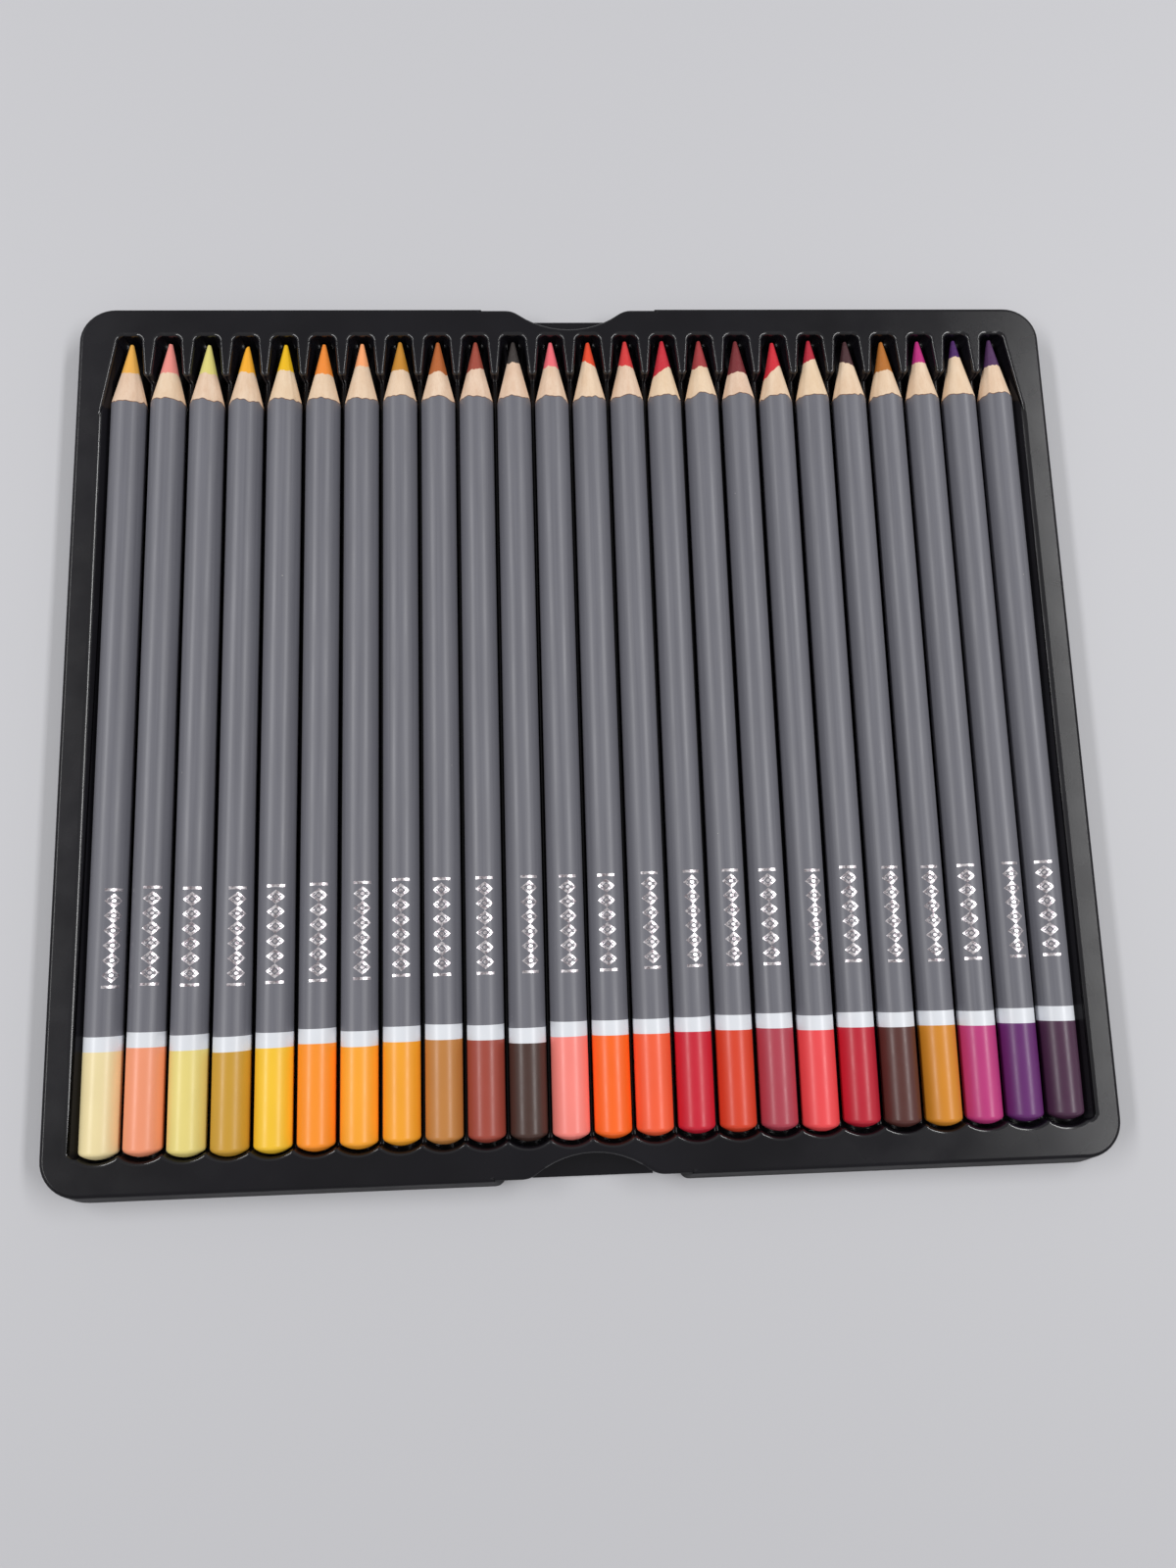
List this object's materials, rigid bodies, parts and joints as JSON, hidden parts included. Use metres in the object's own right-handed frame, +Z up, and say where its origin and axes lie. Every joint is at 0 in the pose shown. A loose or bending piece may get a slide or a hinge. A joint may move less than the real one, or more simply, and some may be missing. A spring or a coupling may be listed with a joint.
{
  "type": "colouring pencil tray set",
  "caption": "Shallow formed plastic tray with a row of round, sharpened colouring pencils lying in its grooves; each pencil lifts out.",
  "frame": {"origin": "centre of the tray's footprint on the surface it stands on", "axes": "+X across the row of pencils, +Y towards their points, +Z up out of the tray"},
  "size_m": [0.2238, 0.1958, 0.0087],
  "materials": {
    "tray_plastic": "satin-gloss charcoal formed sheet",
    "painted_wood": "satin slate-grey lacquer over wood",
    "pigment_01": "matt waxy pigment core",
    "pigment_02": "matt waxy pigment core",
    "pigment_03": "matt waxy pigment core",
    "pigment_04": "matt waxy pigment core",
    "pigment_05": "matt waxy pigment core",
    "pigment_06": "matt waxy pigment core",
    "pigment_07": "matt waxy pigment core",
    "pigment_08": "matt waxy pigment core",
    "pigment_09": "matt waxy pigment core",
    "pigment_10": "matt waxy pigment core",
    "pigment_11": "matt waxy pigment core",
    "pigment_12": "matt waxy pigment core",
    "pigment_13": "matt waxy pigment core",
    "pigment_14": "matt waxy pigment core",
    "pigment_15": "matt waxy pigment core",
    "pigment_16": "matt waxy pigment core",
    "pigment_17": "matt waxy pigment core",
    "pigment_18": "matt waxy pigment core",
    "pigment_19": "matt waxy pigment core",
    "pigment_20": "matt waxy pigment core",
    "pigment_21": "matt waxy pigment core",
    "pigment_22": "matt waxy pigment core",
    "pigment_23": "matt waxy pigment core",
    "pigment_24": "matt waxy pigment core"
  },
  "bodies": {
    "tray": {"tray": "tray_plastic"},
    "pencil_01": {"pencil_01_casing": "painted_wood", "pencil_01_core": "pigment_01"},
    "pencil_02": {"pencil_02_casing": "painted_wood", "pencil_02_core": "pigment_02"},
    "pencil_03": {"pencil_03_casing": "painted_wood", "pencil_03_core": "pigment_03"},
    "pencil_04": {"pencil_04_casing": "painted_wood", "pencil_04_core": "pigment_04"},
    "pencil_05": {"pencil_05_casing": "painted_wood", "pencil_05_core": "pigment_05"},
    "pencil_06": {"pencil_06_casing": "painted_wood", "pencil_06_core": "pigment_06"},
    "pencil_07": {"pencil_07_casing": "painted_wood", "pencil_07_core": "pigment_07"},
    "pencil_08": {"pencil_08_casing": "painted_wood", "pencil_08_core": "pigment_08"},
    "pencil_09": {"pencil_09_casing": "painted_wood", "pencil_09_core": "pigment_09"},
    "pencil_10": {"pencil_10_casing": "painted_wood", "pencil_10_core": "pigment_10"},
    "pencil_11": {"pencil_11_casing": "painted_wood", "pencil_11_core": "pigment_11"},
    "pencil_12": {"pencil_12_casing": "painted_wood", "pencil_12_core": "pigment_12"},
    "pencil_13": {"pencil_13_casing": "painted_wood", "pencil_13_core": "pigment_13"},
    "pencil_14": {"pencil_14_casing": "painted_wood", "pencil_14_core": "pigment_14"},
    "pencil_15": {"pencil_15_casing": "painted_wood", "pencil_15_core": "pigment_15"},
    "pencil_16": {"pencil_16_casing": "painted_wood", "pencil_16_core": "pigment_16"},
    "pencil_17": {"pencil_17_casing": "painted_wood", "pencil_17_core": "pigment_17"},
    "pencil_18": {"pencil_18_casing": "painted_wood", "pencil_18_core": "pigment_18"},
    "pencil_19": {"pencil_19_casing": "painted_wood", "pencil_19_core": "pigment_19"},
    "pencil_20": {"pencil_20_casing": "painted_wood", "pencil_20_core": "pigment_20"},
    "pencil_21": {"pencil_21_casing": "painted_wood", "pencil_21_core": "pigment_21"},
    "pencil_22": {"pencil_22_casing": "painted_wood", "pencil_22_core": "pigment_22"},
    "pencil_23": {"pencil_23_casing": "painted_wood", "pencil_23_core": "pigment_23"},
    "pencil_24": {"pencil_24_casing": "painted_wood", "pencil_24_core": "pigment_24"}
  },
  "joints": [
    {"name": "pencil_01_lift", "type": "slide", "parent": "tray", "child": "pencil_01", "axis": [0, 0, 1], "range_m": [0, 0.02]},
    {"name": "pencil_02_lift", "type": "slide", "parent": "tray", "child": "pencil_02", "axis": [0, 0, 1], "range_m": [0, 0.02]},
    {"name": "pencil_03_lift", "type": "slide", "parent": "tray", "child": "pencil_03", "axis": [0, 0, 1], "range_m": [0, 0.02]},
    {"name": "pencil_04_lift", "type": "slide", "parent": "tray", "child": "pencil_04", "axis": [0, 0, 1], "range_m": [0, 0.02]},
    {"name": "pencil_05_lift", "type": "slide", "parent": "tray", "child": "pencil_05", "axis": [0, 0, 1], "range_m": [0, 0.02]},
    {"name": "pencil_06_lift", "type": "slide", "parent": "tray", "child": "pencil_06", "axis": [0, 0, 1], "range_m": [0, 0.02]},
    {"name": "pencil_07_lift", "type": "slide", "parent": "tray", "child": "pencil_07", "axis": [0, 0, 1], "range_m": [0, 0.02]},
    {"name": "pencil_08_lift", "type": "slide", "parent": "tray", "child": "pencil_08", "axis": [0, 0, 1], "range_m": [0, 0.02]},
    {"name": "pencil_09_lift", "type": "slide", "parent": "tray", "child": "pencil_09", "axis": [0, 0, 1], "range_m": [0, 0.02]},
    {"name": "pencil_10_lift", "type": "slide", "parent": "tray", "child": "pencil_10", "axis": [0, 0, 1], "range_m": [0, 0.02]},
    {"name": "pencil_11_lift", "type": "slide", "parent": "tray", "child": "pencil_11", "axis": [0, 0, 1], "range_m": [0, 0.02]},
    {"name": "pencil_12_lift", "type": "slide", "parent": "tray", "child": "pencil_12", "axis": [0, 0, 1], "range_m": [0, 0.02]},
    {"name": "pencil_13_lift", "type": "slide", "parent": "tray", "child": "pencil_13", "axis": [0, 0, 1], "range_m": [0, 0.02]},
    {"name": "pencil_14_lift", "type": "slide", "parent": "tray", "child": "pencil_14", "axis": [0, 0, 1], "range_m": [0, 0.02]},
    {"name": "pencil_15_lift", "type": "slide", "parent": "tray", "child": "pencil_15", "axis": [0, 0, 1], "range_m": [0, 0.02]},
    {"name": "pencil_16_lift", "type": "slide", "parent": "tray", "child": "pencil_16", "axis": [0, 0, 1], "range_m": [0, 0.02]},
    {"name": "pencil_17_lift", "type": "slide", "parent": "tray", "child": "pencil_17", "axis": [0, 0, 1], "range_m": [0, 0.02]},
    {"name": "pencil_18_lift", "type": "slide", "parent": "tray", "child": "pencil_18", "axis": [0, 0, 1], "range_m": [0, 0.02]},
    {"name": "pencil_19_lift", "type": "slide", "parent": "tray", "child": "pencil_19", "axis": [0, 0, 1], "range_m": [0, 0.02]},
    {"name": "pencil_20_lift", "type": "slide", "parent": "tray", "child": "pencil_20", "axis": [0, 0, 1], "range_m": [0, 0.02]},
    {"name": "pencil_21_lift", "type": "slide", "parent": "tray", "child": "pencil_21", "axis": [0, 0, 1], "range_m": [0, 0.02]},
    {"name": "pencil_22_lift", "type": "slide", "parent": "tray", "child": "pencil_22", "axis": [0, 0, 1], "range_m": [0, 0.02]},
    {"name": "pencil_23_lift", "type": "slide", "parent": "tray", "child": "pencil_23", "axis": [0, 0, 1], "range_m": [0, 0.02]},
    {"name": "pencil_24_lift", "type": "slide", "parent": "tray", "child": "pencil_24", "axis": [0, 0, 1], "range_m": [0, 0.02]}
  ]
}
